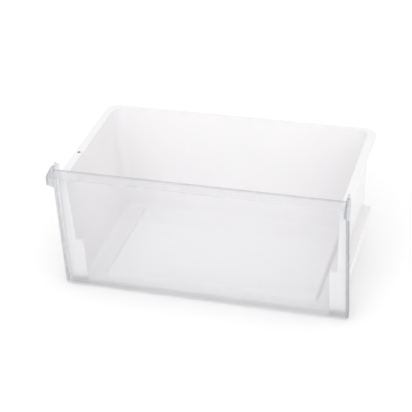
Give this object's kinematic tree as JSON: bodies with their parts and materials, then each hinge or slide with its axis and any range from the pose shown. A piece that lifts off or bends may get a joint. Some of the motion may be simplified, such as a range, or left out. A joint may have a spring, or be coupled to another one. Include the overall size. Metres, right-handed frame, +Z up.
{
  "type": "fridge crisper drawer",
  "caption": "Fridge crisper drawer: an opaque bin with side runners and a clear clip-on front that carries a full-width handle hood.",
  "frame": {"origin": "centre of the drawer's box, on the surface that it stands on", "axes": "+X to the drawer's right as seen from behind the handle, -Y out of the clear front, +Z up"},
  "size_m": [0.469, 0.2773, 0.2248],
  "materials": {
    "bin_plastic": "satin",
    "clear_plastic": "clear, polished"
  },
  "bodies": {
    "root": {"bin": "bin_plastic", "clear_front": "clear_plastic"}
  },
  "joints": []
}
